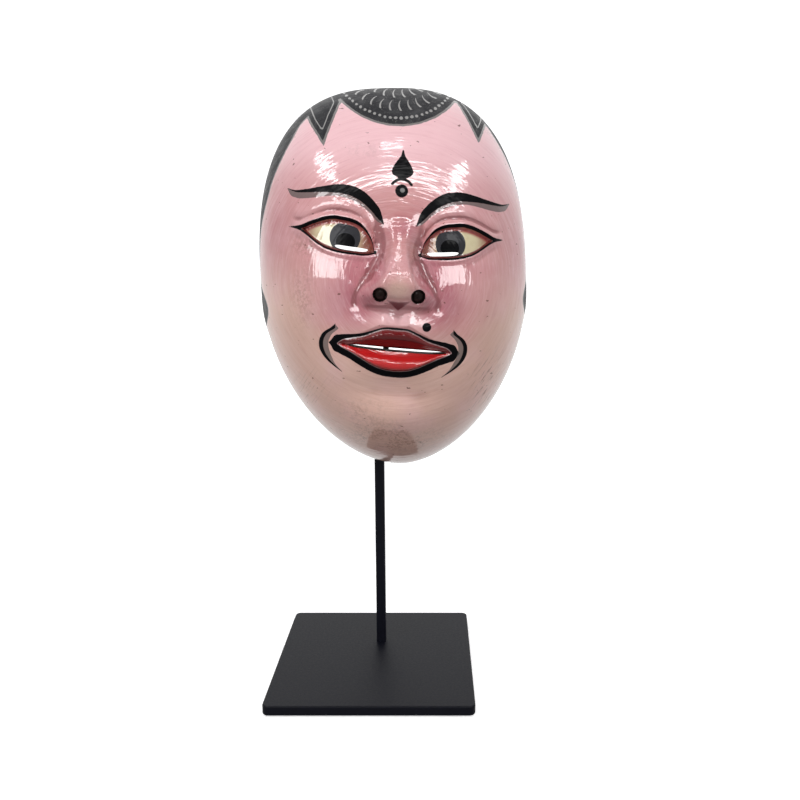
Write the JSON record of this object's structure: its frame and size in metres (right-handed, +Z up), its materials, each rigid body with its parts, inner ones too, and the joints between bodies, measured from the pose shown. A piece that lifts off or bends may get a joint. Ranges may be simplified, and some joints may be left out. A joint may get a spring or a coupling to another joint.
{
  "type": "carved folk art mask on a display stand",
  "caption": "Carved and painted wooden dance mask with pierced eyes and mouth, mounted on a square steel stand; it lifts off the stand's rod and swivels on it.",
  "frame": {"origin": "on the surface the stand rests on, under the centre of the base plate", "axes": "+Z up; the mask looks along -Y, and +X is to the right of someone looking at it"},
  "size_m": [0.131, 0.1169, 0.2941],
  "materials": {
    "painted_wood": "painted and varnished, bare wood inside",
    "black_coat": "satin black powder coat",
    "black_felt": "pressed felt",
    "zinc_steel": "zinc plated",
    "dark_steel": "black oxide",
    "nylon": "natural nylon",
    "brass": "knurled, lightly tarnished",
    "strap_leather": "worn vegetable tanned"
  },
  "bodies": {
    "stand": {"base_plate": "black_coat", "felt_sheet": "black_felt", "post": "black_coat", "post_screw": "zinc_steel", "mount_rod": "black_coat", "weld_beads": "black_coat", "stop_collar": "zinc_steel", "collar_grub_screw": "dark_steel"},
    "washer": {"socket_washer": "nylon"},
    "mask": {"mask_shell": "painted_wood", "bite_strap": "strap_leather", "strap_tacks": "dark_steel", "cross_strip": "black_coat", "strip_screw_left": "zinc_steel", "strip_screw_right": "zinc_steel", "socket_block": "black_coat", "block_screws": "zinc_steel"},
    "screw": {"lock_tip": "nylon", "lock_screw": "brass"}
  },
  "joints": [
    {"name": "mask_lift", "type": "slide", "parent": "stand", "child": "washer", "axis": [0, 0, 1], "range_m": [0, 0.034]},
    {"name": "mask_swivel", "type": "hinge", "parent": "washer", "child": "mask", "pos_m": [0.0062, 0.0164, 0.181], "axis": [0, 0, 1], "continuous": true},
    {"name": "lock_turn", "type": "hinge", "parent": "mask", "child": "screw", "pos_m": [0.0062, 0.0164, 0.196], "axis": [-0.0698, 0.9976, 0], "range_deg": [0, 1080]}
  ]
}
